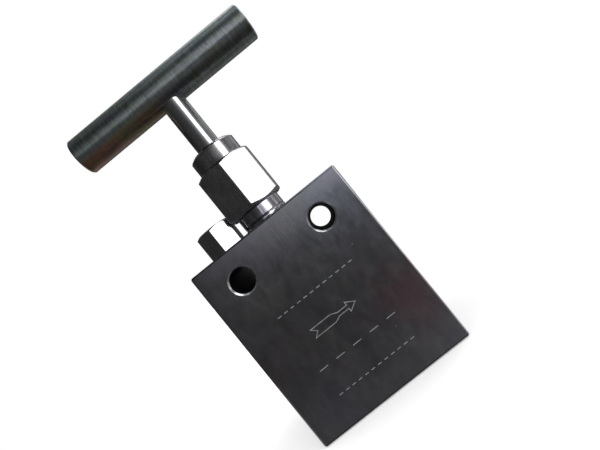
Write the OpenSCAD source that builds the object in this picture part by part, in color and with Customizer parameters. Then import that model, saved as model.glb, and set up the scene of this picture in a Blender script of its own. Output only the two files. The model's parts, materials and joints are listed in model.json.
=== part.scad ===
// Manual needle valve, block pattern, with a screwed bonnet (packing gland),
// a rising two-piece stem and a T-bar handle, drawn closed.
// Millimetres. +Z runs up the stem, +X is the flow direction, the marked face is -Y.
// The origin is the centre of the block's bottom face.

/* [Block] */
// Width of the block, port face to port face
body_w = 45; // [44:0.5:48]
// Thickness of the block, front face to back face
body_t = 45; // [40:0.5:48]
// Height of the block
body_h = 53; // [53:0.1:53.6]
// Bevel on all of the block's edges
edge_c = 0.4; // [0.3:0.1:0.9]

/* [Ports] */
// Radius of the tapped port bores
port_r = 5.55; // [5.2:0.05:5.6]
// Depth of each port bore from the port face
port_len = 15; // [14:0.5:15]
// Height of the port axis above the bottom face
port_z = 24; // [23.6:0.1:24.4]
// Radius of the countersink at the port mouth
port_mouth_r = 7.1; // [6.6:0.1:7.6]

/* [Mounting holes] */
// Radius of the two through holes
hole_r = 3.3; // [3:0.1:3.4]
// Spacing of the two through holes
hole_pitch = 25; // [25:0.1:26]
// Distance of the hole axes below the top face
hole_drop = 8.2; // [8:0.1:8.4]
// Radius of the countersink on each hole mouth
hole_mouth_r = 3.75; // [3.5:0.05:3.9]

/* [Bonnet] */
// Width across the flats of the bonnet's hexagon
hex_af = 17; // [16.5:0.1:17]
// Height at which the hexagon starts
hex_z0 = 58.3; // [58:0.1:58.8]
// Height at which the hexagon ends
hex_z1 = 74.1; // [73.6:0.1:74.4]
// Turn of the hexagon about the stem
hex_turn = 0; // [-3:1:1]
// Radius of the round collar above the hexagon
collar_r = 7.2; // [7:0.1:7.4]
// Height of the collar's top
collar_z1 = 79.7; // [79.4:0.1:80.6]
// Outside radius of the bonnet's screw thread
neck_r = 6.95; // [6.9:0.01:6.98]
// Pitch of the bonnet's screw thread
neck_pitch = 1; // [1:0.25:1.5]

/* [Lock screw] */
// Width across the flats of the lock screw's hexagon
lock_af = 10.4; // [10:0.1:10.4]
// Distance of the lock screw from the stem axis
lock_x = 14; // [14:0.1:14.6]
// Height of the lock screw's top
lock_z1 = 61.7; // [60.6:0.1:62]
// Turn of the lock screw's hexagon
lock_turn = -2; // [-7:1:-1]

/* [Stem] */
// Radius of the polished spindle
spindle_r = 3.6; // [3.55:0.01:3.6]
// Radius of the sliding needle
needle_r = 2.5; // [2.45:0.01:2.5]
// Outside radius of the stem's operating thread
drive_r = 4.45; // [4.4:0.01:4.45]
// Pitch of the stem's operating thread
drive_pitch = 1; // [0.75:0.25:1]

/* [Handle] */
// Length of the T-bar
bar_len = 61.5; // [56:0.5:70]
// Radius of the T-bar
bar_r = 5.7; // [5.5:0.1:5.8]
// Height of the T-bar's axis
bar_z = 101.4; // [101.2:0.1:102.4]
// Bevel on the T-bar's ends
bar_c = 0.4; // [0.2:0.1:0.6]

/* [Hidden] */

$fn = 96;
overlap = 0.01;

// materials used by several pieces
WASHER_GREY = [0.6, 0.6, 0.62];
PACKING_WHITE = [0.95, 0.95, 0.93];
FITTING_STEEL = [0.68, 0.68, 0.7];
STEM_STEEL = [0.72, 0.72, 0.74];

// ---- shared shapes -------------------------------------------------------

// corners of a rectangle with all four bevelled
function bevelled_rect(x0, x1, y0, y1, bevel) =
  [[x0 + bevel, y0], [x1 - bevel, y0], [x1, y0 + bevel], [x1, y1 - bevel],
   [x1 - bevel, y1], [x0 + bevel, y1], [x0, y1 - bevel], [x0, y0 + bevel]];

// prism along Z, centred, with its four upright edges bevelled
module bevel_prism(size_x, size_y, height, bevel) {
  linear_extrude(height = height, center = true)
    polygon(bevelled_rect(-size_x / 2, size_x / 2, -size_y / 2, size_y / 2, bevel));
}

// washer or ring with small bevels inside and out
module ring(outer_r, inner_r, z0, z1, bevel = 0.15) {
  rotate_extrude() polygon(bevelled_rect(inner_r, outer_r, z0, z1, bevel));
}

// 45 degree cutter that widens a bore towards its mouth at mouth_z
module countersink(bore_r, depth, mouth_z) {
  translate([0, 0, mouth_z - depth])
    cylinder(h = depth + overlap, r1 = bore_r, r2 = bore_r + depth + overlap);
}

// one turn of thread: [height as a share of the pitch, share of the full depth]
THREAD_TURN = [[0.06, 0], [0.22, 0], [0.56, 1], [0.72, 1]];

// right-hand side of a grooved thread profile, going up, in whole turns
function thread_side(crest_r, depth, z0, z1, pitch) =
  [for (i = [0 : floor((z1 - z0) / pitch) - 1], point = THREAD_TURN)
     [crest_r - point[1] * depth, z0 + (i + point[0]) * pitch]];

function thread_depth(pitch) = 0.54 * pitch;

// hexagonal prism, corners turned off at the top and, if asked, at the bottom
module turned_hex(across_flats, z0, z1, turn, turn_bottom = true) {
  corner_r = across_flats / 2 / cos(30);
  face_r = across_flats / 2 * 0.945;
  cone_r = corner_r + 0.3;
  cone_h = (cone_r - face_r) * 0.58;
  intersection() {
    translate([0, 0, z0]) rotate([0, 0, turn - 90])
      cylinder(h = z1 - z0, r = corner_r, $fn = 6);
    rotate_extrude()
      polygon([[0, z0], [turn_bottom ? face_r : corner_r + 1, z0],
               [cone_r, z0 + (turn_bottom ? cone_h : 0)],
               [cone_r, z1 - cone_h], [face_r, z1], [0, z1]]);
  }
}

// ---- block ---------------------------------------------------------------

half_w = body_w / 2;
half_t = body_t / 2;
outlet_r = 2.4;             // outlet drilling, and inner end of the port cones
outlet_x0 = 2;
port_cone_len = 1.6;
inlet_r = 1.9;
inlet_z0 = 10.6;            // where the inlet drilling's axis meets the stem axis
inlet_tilt = 52;            // lean of the inlet drilling from the stem axis
passage_r = 2;              // passage under the seat
passage_z0 = 10.2;
chamber_r = 4;              // flow chamber around the needle
chamber_z0 = 17;            // floor of the seat pocket
stuff_r = 5;                // packing bore
stuff_z0 = 28;              // shoulder under the packing
bonnet_z0 = 43;             // lower end of the bonnet
tap_r = 7.02;               // tapped bore for the bonnet
tap_z0 = bonnet_z0 - 1.6;
lock_hole_r = 2.52;
lock_hole_depth = 4.2;
arrow_z = port_z - 0.25;
arrow_depth = 0.12;

// outer and inner edge of the engraved arrow's line, pointing to +X: [x, height from arrow_z]
ARROW_OUT = [[-7.45, -1.3], [-0.9, -1.3], [0.75, -0.6], [3.5, -0.6], [3.5, -1.55],
             [6.1, 0], [3.5, 1.55], [3.5, 0.6], [0.75, 0.6], [-0.9, 1.3],
             [-7.45, 1.3], [-5.9, 0]];
ARROW_IN = [[-6.85, -1.06], [-0.95, -1.06], [0.7, -0.36], [3.74, -0.36], [3.74, -1.13],
            [5.63, 0], [3.74, 1.13], [3.74, 0.36], [0.7, 0.36], [-0.95, 1.06],
            [-6.85, 1.06], [-5.59, 0]];

module bevelled_block() {
  translate([0, 0, body_h / 2]) intersection() {
    bevel_prism(body_w, body_t, body_h, edge_c);
    rotate([90, 0, 0]) bevel_prism(body_w, body_h, body_t, edge_c);
    rotate([0, 90, 0]) bevel_prism(body_h, body_t, body_w, edge_c);
  }
}

// along Z, countersunk at both ends
module mounting_hole() {
  cylinder(h = body_t + 2, r = hole_r, center = true);
  for (m = [0, 1]) mirror([0, 0, m]) countersink(hole_r, hole_mouth_r - hole_r, half_t);
}

// along Z from the bore's floor, with a cone below it
module port_bore() {
  cylinder(h = port_len + 1, r = port_r);
  translate([0, 0, -port_cone_len])
    cylinder(h = port_cone_len + overlap, r1 = outlet_r, r2 = port_r);
  countersink(port_r, port_mouth_r - port_r, port_len);
}

module valve_body() {
  color([0.36, 0.36, 0.38])
  difference() {
    bevelled_block();
    // mounting holes, front to back
    for (s = [-1, 1])
      translate([s * hole_pitch / 2, 0, body_h - hole_drop]) rotate([90, 0, 0]) mounting_hole();
    // outlet port at +X, inlet port at -X
    for (m = [0, 1]) mirror([m, 0, 0])
      translate([half_w - port_len, 0, port_z]) rotate([0, 90, 0]) port_bore();
    // outlet drilling, level with the port
    translate([outlet_x0, 0, port_z]) rotate([0, 90, 0])
      cylinder(h = half_w - port_len - outlet_x0, r = outlet_r);
    // inlet drilling, sloping down from the port to the passage under the seat
    translate([0, 0, inlet_z0]) rotate([0, -inlet_tilt, 0]) cylinder(h = 14, r = inlet_r);
    // passage under the seat, with a conical bottom
    translate([0, 0, passage_z0 - 1]) cylinder(h = 1 + overlap, r1 = 0.2, r2 = passage_r);
    translate([0, 0, passage_z0]) cylinder(h = 8, r = passage_r);
    // seat pocket and flow chamber
    translate([0, 0, chamber_z0]) cylinder(h = stuff_z0 - chamber_z0 + 1, r = chamber_r);
    // packing bore
    translate([0, 0, stuff_z0]) cylinder(h = bonnet_z0 - stuff_z0 + 1, r = stuff_r);
    // tapped bore for the bonnet
    translate([0, 0, tap_z0]) cylinder(h = body_h, r = tap_r);
    countersink(tap_r, 0.8, body_h);
    // tapped hole for the lock screw
    translate([-lock_x, 0, body_h - lock_hole_depth]) cylinder(h = 5, r = lock_hole_r);
    // engraved flow arrow
    translate([0, -half_t + arrow_depth, arrow_z]) rotate([90, 0, 0])
      linear_extrude(height = 1)
        difference() {
          polygon(ARROW_OUT);
          polygon(ARROW_IN);
        }
  }
}

// ---- seat ----------------------------------------------------------------

gasket_z1 = chamber_z0 + 0.8;
seat_z1 = 21;               // top of the seat insert
seat_bore_r = 1.8;          // sealing edge of the seat
seat_edge_z = 20.2;         // height of the sealing edge

module seat_gasket() {
  color([0.9, 0.9, 0.88]) ring(3.95, 2.1, chamber_z0, gasket_z1, 0.1);
}

module seat_insert() {
  color([0.62, 0.63, 0.65])
  rotate_extrude()
    polygon([[seat_bore_r, gasket_z1], [chamber_r - 0.2, gasket_z1],
             [chamber_r, gasket_z1 + 0.2], [chamber_r, seat_z1 - 0.3],
             [chamber_r - 0.3, seat_z1], [2.6, seat_z1], [seat_bore_r, seat_edge_z]]);
}

// ---- packing -------------------------------------------------------------

washer_r = 4.96;
washer_bore_r = 2.56;
washer_h = 1.2;
washer_c = 0.15;            // bevel on the follower's sleeve
packing_bore_r = 2.53;
packing_h = 2.5;
packing_z0 = stuff_z0 + washer_h;
packing_z1 = packing_z0 + 3 * packing_h;
follower_z0 = packing_z1 + washer_h;
flange_r = 6.7;
flange_c = 0.2;

module packing_washer(z0) {
  ring(washer_r, washer_bore_r, z0, z0 + washer_h);
}

// index counts the packing rings from the bottom, starting at 0
module packing_ring(index) {
  z0 = packing_z0 + index * packing_h;
  ring(stuff_r, packing_bore_r, z0, z0 + packing_h, 0.25);
}

module bottom_packing_washer() { color(WASHER_GREY) packing_washer(stuff_z0); }
module packing_ring_lower() { color(PACKING_WHITE) packing_ring(0); }
module packing_ring_middle() { color(PACKING_WHITE) packing_ring(1); }
module packing_ring_upper() { color(PACKING_WHITE) packing_ring(2); }
module top_packing_washer() { color(WASHER_GREY) packing_washer(packing_z1); }

// sleeve with a flange that the bonnet presses down
module packing_follower() {
  color(WASHER_GREY)
  rotate_extrude()
    polygon([[washer_bore_r, follower_z0 + washer_c], [washer_bore_r + washer_c, follower_z0],
             [washer_r - washer_c, follower_z0], [washer_r, follower_z0 + washer_c],
             [washer_r, tap_z0 + overlap], [flange_r - flange_c, tap_z0 + overlap],
             [flange_r, tap_z0 + flange_c], [flange_r, bonnet_z0 - flange_c],
             [flange_r - flange_c, bonnet_z0], [washer_bore_r + washer_c, bonnet_z0],
             [washer_bore_r, bonnet_z0 - washer_c]]);
}

// ---- bonnet --------------------------------------------------------------

bonnet_bore_r = 4.5;        // tapped bore for the operating thread
guide_r = 3.65;             // guide for the polished spindle
guide_z = 72;               // underside of the guide, which stops the stem
groove_r = 5.1;             // wiper ring's groove
groove_z0 = 76.2;
groove_h = 1.9;
wiper_r = 0.73;             // wiper ring's section
wiper_ring_r = 4.36;        // stem axis to the centre of the section

module packing_gland() {
  depth = thread_depth(neck_pitch);
  root_r = neck_r - depth;
  plain_r = neck_r - 0.05;
  thread = thread_side(neck_r, depth, bonnet_z0 + 0.5, body_h + 2.5, neck_pitch);
  color(FITTING_STEEL)
  difference() {
    union() {
      // screwed neck, plain and round under the hexagon
      rotate_extrude()
        polygon(concat([[0, bonnet_z0], [root_r - 0.1, bonnet_z0]], thread,
                       [[root_r, body_h + 2.4], [plain_r, body_h + 2.9],
                        [plain_r, hex_z0 + 0.5], [0, hex_z0 + 0.5]]));
      turned_hex(hex_af, hex_z0, hex_z1, hex_turn);
      // round collar with a conical shoulder
      rotate_extrude()
        polygon([[0, hex_z1 - 1], [collar_r, hex_z1 - 1], [collar_r, collar_z1 - 0.85],
                 [collar_r - 0.25, collar_z1 - 0.6], [5.95, collar_z1], [0, collar_z1]]);
    }
    translate([0, 0, bonnet_z0 - 1]) cylinder(h = guide_z - bonnet_z0 + 1, r = bonnet_bore_r);
    translate([0, 0, guide_z - 1]) cylinder(h = 20, r = guide_r);
    translate([0, 0, groove_z0]) cylinder(h = groove_h, r = groove_r);
    // lead-in at the spindle's opening
    countersink(guide_r, 0.4, collar_z1);
  }
}

// round-section ring around the spindle
module gland_wiper_ring() {
  color([0.08, 0.08, 0.08])
  translate([0, 0, groove_z0 + groove_h / 2])
    rotate_extrude() translate([wiper_ring_r, 0]) circle(r = wiper_r, $fn = 48);
}

// ---- lock screw ----------------------------------------------------------

lock_r = 2.5;
lock_pitch = 0.8;
lock_depth = 0.42;          // depth of the thread

module lock_screw() {
  root_r = lock_r - lock_depth;
  thread = thread_side(lock_r, lock_depth, body_h - 3.9, body_h - 0.4, lock_pitch);
  color(FITTING_STEEL)
  translate([-lock_x, 0, 0]) {
    turned_hex(lock_af, body_h, lock_z1, lock_turn, turn_bottom = false);
    // the shank reaches into the head, which joins the two
    rotate_extrude()
      polygon(concat([[0, body_h - 4], [1.9, body_h - 4]], thread,
                     [[root_r, body_h - 0.5], [root_r, body_h + 0.5], [0, body_h + 0.5]]));
  }
}

// ---- stem ----------------------------------------------------------------

cone_slope = 0.577;         // radius gained per height on the needle's 60 degree cone
seat_gap = 0.03;            // clearance between cone and seat when closed
tip_r = 0.8;
head_r = 3.4;               // needle's captive head
head_z0 = 45.9;
head_z1 = 47.6;
drive_z0 = 44;              // lower end of the upper stem
drive_z1 = 67.6;            // top of the operating thread
socket_r = 3.45;            // socket for the needle's head
socket_h = 4.6;
retainer_z1 = 45.4;
retainer_bore_r = 2.58;     // bore of the retainer and of the thrust washer
bar_bore_z = bar_z + 3.2;   // roof of the handle's blind bore
spindle_z1 = bar_bore_z - 0.1;
flat_y = 2.7;               // flat for the handle's set screw
flat_h = 4.4;
set_screw_z = bar_z - 0.2;

// sliding, non-turning needle: cone, round shank and captive head
module lower_stem() {
  cone_z1 = seat_edge_z + (needle_r - seat_bore_r + seat_gap) / cone_slope;
  tip_z = seat_edge_z - (seat_bore_r - seat_gap - tip_r) / cone_slope;
  tip_c = 0.35;
  color(STEM_STEEL)
  rotate_extrude()
    polygon([[0, tip_z - tip_c], [tip_r - tip_c, tip_z - tip_c], [tip_r, tip_z],
             [needle_r, cone_z1], [needle_r, head_z0],
             [head_r - 0.1, head_z0], [head_r, head_z0 + 0.1],
             [head_r, head_z1 - 0.3], [head_r - 0.3, head_z1],
             [0.9, head_z1], [0, head_z1 - 0.4]]);
}

// turning stem: operating thread, socket for the needle's head, polished spindle
module upper_stem() {
  depth = thread_depth(drive_pitch);
  thread_z1 = drive_z1 - 0.9;
  thread = thread_side(drive_r, depth, drive_z0 + 1, thread_z1, drive_pitch);
  color(STEM_STEEL)
  difference() {
    rotate_extrude()
      polygon(concat([[0, drive_z0], [drive_r - depth, drive_z0], [drive_r, drive_z0 + depth]],
                     thread,
                     [[drive_r, thread_z1], [drive_r, drive_z1 - 0.4],
                      [drive_r - 0.4, drive_z1], [spindle_r, drive_z1 + 0.001],
                      [spindle_r, spindle_z1 - 0.5], [spindle_r - 0.5, spindle_z1],
                      [0, spindle_z1]]));
    // socket, with a conical recess in its roof for the ball
    translate([0, 0, drive_z0 - 1]) cylinder(h = 1 + socket_h, r = socket_r);
    translate([0, 0, drive_z0 + socket_h - overlap]) cylinder(h = 0.5, r1 = 1.1, r2 = 0.2);
    translate([-5, flat_y, set_screw_z - flat_h / 2]) cube([10, 5, flat_h]);
  }
}

// ball between the turning stem and the sliding needle
module thrust_ball() {
  color([0.8, 0.8, 0.82]) translate([0, 0, 48.09]) sphere(r = 0.8, $fn = 48);
}

// thin washer that lifts the needle's head
module thrust_washer() {
  color([0.7, 0.55, 0.3]) ring(3.38, retainer_bore_r, retainer_z1, head_z0 - 0.02, 0.08);
}

// ring that closes the socket below the needle's head
module stem_retainer() {
  color(WASHER_GREY) ring(socket_r, retainer_bore_r, drive_z0 + 0.1, retainer_z1, 0.12);
}

// ---- handle --------------------------------------------------------------

bar_bore_r = 3.6;
set_screw_r = 1.98;
set_screw_len = 2.4;
set_screw_hole_r = 2;

// puts a shape's +Z along the set screw, from its inner end out to the back
module at_set_screw() {
  translate([0, 2.75, set_screw_z]) rotate([-90, 0, 0]) children();
}

module handle_bar() {
  end_x = bar_len / 2;
  bore_z0 = bar_z - bar_r - 2;
  color([0.42, 0.43, 0.41])
  difference() {
    translate([0, 0, bar_z]) rotate([0, 90, 0]) rotate_extrude()
      polygon([[0, -end_x], [bar_r - bar_c, -end_x], [bar_r, -end_x + bar_c],
               [bar_r, end_x - bar_c], [bar_r - bar_c, end_x], [0, end_x]]);
    // blind bore for the spindle
    translate([0, 0, bore_z0]) cylinder(h = bar_bore_z - bore_z0, r = bar_bore_r);
    at_set_screw() cylinder(h = 5, r = set_screw_hole_r);
  }
}

// grub screw with a hexagon socket
module handle_set_screw() {
  color([0.2, 0.2, 0.21])
  at_set_screw() difference() {
    rotate_extrude()
      polygon([[0, 0], [1.3, 0], [set_screw_r, 0.5], [set_screw_r, set_screw_len - 0.2],
               [set_screw_r - 0.2, set_screw_len], [0, set_screw_len]]);
    translate([0, 0, 1]) cylinder(h = 2, r = 1 / cos(30), $fn = 6);
  }
}

valve_body();
seat_gasket();
seat_insert();
bottom_packing_washer();
packing_ring_lower();
packing_ring_middle();
packing_ring_upper();
top_packing_washer();
packing_follower();
packing_gland();
gland_wiper_ring();
lock_screw();
lower_stem();
upper_stem();
thrust_ball();
thrust_washer();
stem_retainer();
handle_bar();
handle_set_screw();
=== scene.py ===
"""A packed needle valve, built from the pieces of its CAD frame.

The block stands on z = 0 with its front face toward -Y. The bonnet, the stem and the T-bar
handle stack up along +Z, the pipe ports open at both X ends, the two mounting holes run
along Y and the T-bar lies along X. Shapes are made in millimetres and scaled to metres
by finish_piece.
"""
import json
import math
from functools import reduce

import bmesh
import bpy
import numpy as np
from mathutils import Matrix, Vector


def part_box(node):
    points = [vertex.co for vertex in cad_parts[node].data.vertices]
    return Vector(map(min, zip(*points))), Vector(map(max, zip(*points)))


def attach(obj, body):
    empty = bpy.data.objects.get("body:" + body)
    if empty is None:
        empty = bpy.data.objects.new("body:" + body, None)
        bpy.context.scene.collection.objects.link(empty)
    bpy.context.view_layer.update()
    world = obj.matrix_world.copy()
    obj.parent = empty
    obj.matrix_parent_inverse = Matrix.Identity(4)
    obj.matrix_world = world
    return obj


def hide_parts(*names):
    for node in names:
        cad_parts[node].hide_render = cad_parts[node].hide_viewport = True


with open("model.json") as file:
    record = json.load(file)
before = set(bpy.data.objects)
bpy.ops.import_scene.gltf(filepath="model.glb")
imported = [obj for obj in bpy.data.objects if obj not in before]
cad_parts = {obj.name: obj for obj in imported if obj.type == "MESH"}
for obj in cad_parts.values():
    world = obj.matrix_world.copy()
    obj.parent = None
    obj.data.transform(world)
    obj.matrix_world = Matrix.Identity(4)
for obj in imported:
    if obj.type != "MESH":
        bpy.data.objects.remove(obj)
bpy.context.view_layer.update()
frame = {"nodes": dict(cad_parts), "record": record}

MM = 0.001
TAU = 2 * math.pi
HEX_COS = math.cos(math.pi / 6)   # half flats to corner radius
scene = bpy.context.scene


# ---------------------------------------------------------------- places read from the frame (mm)
def box_mm(node):
    lo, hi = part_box(node)
    return np.array(lo) / MM, np.array(hi) / MM


body_lo, body_hi = box_mm("valve_body")
gland_lo, gland_hi = box_mm("packing_gland")
lock_lo, lock_hi = box_mm("lock_screw")
stem_lo, stem_hi = box_mm("upper_stem")
bar_lo, bar_hi = box_mm("handle_bar")
grub_lo, grub_hi = box_mm("handle_set_screw")
mounts = {mount["name"]: mount for mount in frame["record"]["mounts"]}

WIDTH, DEPTH, TOP = body_hi - body_lo
HALF = DEPTH / 2                  # axis to front face; the port mouths are placed with it too
port = mounts["inlet_port"]
PORT_Z = port["pos_m"][2] / MM
PORT_R = port["dims"]["r_mm"]
holes = mounts["mounting_holes"]
HOLE_Z = holes["pos_m"][2] / MM
HOLE_R = holes["dims"]["hole_r_mm"]
HOLE_X = holes["dims"]["spacing_x_mm"] / 2
LOCK_X = (lock_lo[0] + lock_hi[0]) / 2
LOCK_TOP = lock_hi[2]
GLAND_FOOT, GLAND_TOP = gland_lo[2], gland_hi[2]
BAR_R = (bar_hi[2] - bar_lo[2]) / 2
BAR_Z = (bar_hi[2] + bar_lo[2]) / 2
BAR_HALF = (bar_hi[0] - bar_lo[0]) / 2
STEM_FOOT, STEM_TOP = stem_lo[2], stem_hi[2]
GRUB_Z = (grub_lo[2] + grub_hi[2]) / 2

# ---------------------------------------------------------------- sizes of the design (mm)
BLOCK_CHAMFER, CHAMFER_ROUND = 0.4, 0.10
COARSE_PITCH, COARSE_DEPTH = 1.0, 0.54         # threads of the bonnet and the stem
PORT_PITCH, PORT_DEPTH = 1.411, 0.72
PORT_MOUTH_R = 7.1
HOLE_SINK = 0.45                               # countersink of the mounting holes

HEX_FLATS, HEX_Z0, HEX_Z1, HEX_TURN = 17.0, 58.3, 74.1, 0.0   # bonnet hexagon
COLLAR_R, NECK_R = 7.2, 6.95
GLAND_BORE_R, GLAND_HOLE_R = 4.5, 3.65         # wide lower bore, narrow upper hole
LOCK_FLATS, LOCK_TURN = 10.4, -2.0
LOCK_R, LOCK_PITCH, LOCK_DEPTH = 2.5, 0.8, 0.43
CORNER_START, CORNER_SLOPE = 0.945, 0.58       # turned hexagon corners: share of half flats, rise

SPINDLE_R, DRIVE_R, DRIVE_TOP = 3.6, 4.45, 67.6
SOCKET_R, SOCKET_DEPTH = 3.45, 4.6             # round socket under the stem
GRUB_R, GRUB_PITCH, GRUB_DEPTH = 1.98, 0.7, 0.36
BAR_CHAMFER = 0.4

# rows of etched dashes on the front face: height, centres along X, length, width
MARK_ROWS = [(32.1, [-11.0 + 2.0 * k for k in range(12)], 1.1, 0.24),
             (15.6, [-10.4 + 5.2 * k for k in range(5)], 2.6, 0.24),
             (8.1, [-11.0 + 2.0 * k for k in range(12)], 1.1, 0.24)]
ARROW_CUT, DASH_CUT = 0.12, 0.09               # depths of the markings
ARROW_Z = PORT_Z - 0.25
# outlines of the arrow's etched line: x, height above ARROW_Z
ARROW_OUTER = [(-7.45, -1.3), (-0.9, -1.3), (0.75, -0.6), (3.5, -0.6), (3.5, -1.55), (6.1, 0),
               (3.5, 1.55), (3.5, 0.6), (0.75, 0.6), (-0.9, 1.3), (-7.45, 1.3), (-5.9, 0)]
ARROW_INNER = [(-6.93, -1.07), (-0.955, -1.07), (0.70, -0.37), (3.73, -0.37), (3.73, -1.15),
               (5.66, 0), (3.73, 1.15), (3.73, 0.37), (0.70, 0.37), (-0.955, 1.07),
               (-6.93, 1.07), (-5.60, 0)]


# ---------------------------------------------------------------- profiles: lists of (r, z)
def rounded(corners, steps):
    """Rounds the corners given as (r, z, radius); those given as (r, z) stay sharp."""
    out = []
    for i, corner in enumerate(corners):
        if len(corner) == 2:
            out.append(corner)
            continue
        here = np.array(corner[:2], float)
        back = np.array(corners[i - 1][:2], float) - here
        ahead = np.array(corners[i + 1][:2], float) - here
        back_len, ahead_len = np.linalg.norm(back), np.linalg.norm(ahead)
        back, ahead = back / back_len, ahead / ahead_len
        angle = math.acos(max(-1, min(1, float(back @ ahead))))
        # the arc takes at most 45 % of either side
        reach = min(corner[2] / math.tan(angle / 2), back_len * 0.45, ahead_len * 0.45)
        radius = reach * math.tan(angle / 2)
        inward = (back + ahead) / np.linalg.norm(back + ahead)
        centre = here + inward * (radius / math.sin(angle / 2))
        start = math.atan2(*(here + back * reach - centre)[::-1])
        end = math.atan2(*(here + ahead * reach - centre)[::-1])
        sweep = (end - start + math.pi) % TAU - math.pi
        for k in range(steps + 1):
            at = start + sweep * k / steps
            out.append((centre[0] + radius * math.cos(at), centre[1] + radius * math.sin(at)))
    return out


def dense(path, step):
    """Adds points so that no stretch of the path is longer than step."""
    out = [path[0]]
    for a, b in zip(path[:-1], path[1:]):
        n = max(1, int(math.ceil(math.hypot(b[0] - a[0], b[1] - a[1]) / step)))
        out += [(a[0] + (b[0] - a[0]) * k / n, a[1] + (b[1] - a[1]) * k / n)
                for k in range(1, n + 1)]
    return out


def column(radius, start, stop, step):
    """Evenly stepped points at one radius."""
    return [(radius, z) for z in np.arange(start, stop, step)]


def turned_corner(flats):
    """Inner and outer radius of a hexagon's turned corners, and their rise."""
    inner = flats / 2 * CORNER_START
    outer = flats / 2 / HEX_COS + 0.3
    return inner, outer, (outer - inner) * CORNER_SLOPE


# ---------------------------------------------------------------- radius shaping, on arrays
def ring_angles(n):
    return np.arange(n) * TAU / n


def hex_angles(turn_deg, base):
    """base even angles, with more round the corners of a hexagon turned from -Y."""
    first = math.radians(turn_deg) - math.pi / 2
    angles = set(np.round((np.arange(base) * TAU / base) % TAU, 6))
    offsets = (0.15, 0.45, 0.8, 1.2, 1.7, 2.4, 3.4)
    for k in range(6):
        for offset in [-d for d in offsets] + list(offsets):
            angles.add(round((first + k * TAU / 6 + math.radians(offset)) % TAU, 6))
    angles = sorted(angles)
    out = [angles[0]]
    for angle in angles[1:]:
        if angle - out[-1] > math.radians(0.12):
            out.append(angle)
    return np.array(out)


def hex_radius(angle, flats, turn_deg):
    """Distance to a hexagon's side, with slightly rounded corners."""
    sharpness = 64.0
    first = math.radians(turn_deg) - math.pi / 2 + math.pi / 6
    total = np.zeros_like(angle)
    for k in range(6):
        total += np.clip(np.cos(angle - first - k * TAU / 6), 0.05, 1) ** sharpness
    return flats / 2 / total ** (1 / sharpness)


def soft_min(a, b, width):
    share = np.clip(0.5 + 0.5 * (b - a) / width, 0, 1)
    return b * (1 - share) + a * share - width * share * (1 - share)


def thread_height(z, angle, pitch, phase=0.0):
    """0 at the root and 1 at the crest of a right-hand screw thread."""
    turn = (z / pitch - angle / TAU + phase) % 1.0
    ridge = np.clip((0.78 - 2 * np.abs(turn - 0.5)) / 0.62, 0, 1)
    return ridge * ridge * (3 - 2 * ridge) * 0.35 + ridge * 0.65


def run_out(z, start, end, width):
    """1 between start and end, falling to 0 over width at both."""
    return np.clip((z - start) / width, 0, 1) * np.clip((end - z) / width, 0, 1)


# ---------------------------------------------------------------- mesh helpers
def face_outwards(ob):
    bm = bmesh.new()
    bm.from_mesh(ob.data)
    bmesh.ops.recalc_face_normals(bm, faces=bm.faces)
    bm.to_mesh(ob.data)
    bm.free()


def mesh_object(name, verts, faces):
    mesh = bpy.data.meshes.new(name)
    mesh.from_pydata([tuple(v) for v in verts], [], [tuple(f) for f in faces])
    mesh.validate()
    mesh.update()
    ob = bpy.data.objects.new(name, mesh)
    scene.collection.objects.link(ob)
    face_outwards(ob)
    return ob


def cuboid(size, centre):
    bm = bmesh.new()
    bmesh.ops.create_cube(bm, size=1.0)
    bmesh.ops.scale(bm, vec=size, verts=bm.verts)
    bmesh.ops.translate(bm, vec=centre, verts=bm.verts)
    return bm


def bmesh_object(name, bm):
    mesh = bpy.data.meshes.new(name)
    bm.to_mesh(mesh)
    bm.free()
    ob = bpy.data.objects.new(name, mesh)
    scene.collection.objects.link(ob)
    return ob


def lathe(name, path, angles, reshape=None, closed=False, axis="z", origin=(0, 0, 0)):
    """Revolves (r, z) points about an axis; ends that touch the axis become poles.

    reshape(radius, z, angle) may change the radius from place to place.
    """
    path = [p for i, p in enumerate(path)
            if i == 0 or math.hypot(p[0] - path[i - 1][0], p[1] - path[i - 1][1]) > 1e-6]
    if closed and math.hypot(path[0][0] - path[-1][0], path[0][1] - path[-1][1]) < 1e-6:
        path = path[:-1]
    points = np.array(path, float)
    rows, n = len(points), len(angles)
    radius, angle = np.meshgrid(points[:, 0], angles, indexing="ij")
    z = np.repeat(points[:, 1:2], n, axis=1)
    if reshape is not None:
        radius = reshape(radius, z, angle)
    grid = np.stack([radius * np.cos(angle), radius * np.sin(angle), z], axis=-1)
    verts, index = [], []
    for i in range(rows):
        if not closed and i in (0, rows - 1) and points[i, 0] < 1e-6:
            index.append([len(verts)] * n)
            verts.append((0.0, 0.0, points[i, 1]))
        else:
            index.append(list(range(len(verts), len(verts) + n)))
            verts.extend(map(tuple, grid[i]))
    faces = []
    for i in range(rows if closed else rows - 1):
        a, b = index[i], index[(i + 1) % rows]
        for j in range(n):
            k = (j + 1) % n
            # at a pole two corners are one, which leaves a triangle
            faces.append(list(dict.fromkeys([a[j], a[k], b[k], b[j]])))
    verts = np.array(verts, float)
    if axis == "x":
        verts = verts[:, [2, 0, 1]]
    elif axis == "y":
        verts = verts[:, [1, 2, 0]]
    elif axis == "-x":
        verts = np.stack([-verts[:, 2], verts[:, 1], verts[:, 0]], axis=1)
    return mesh_object(name, verts + np.array(origin, float), faces)


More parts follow.
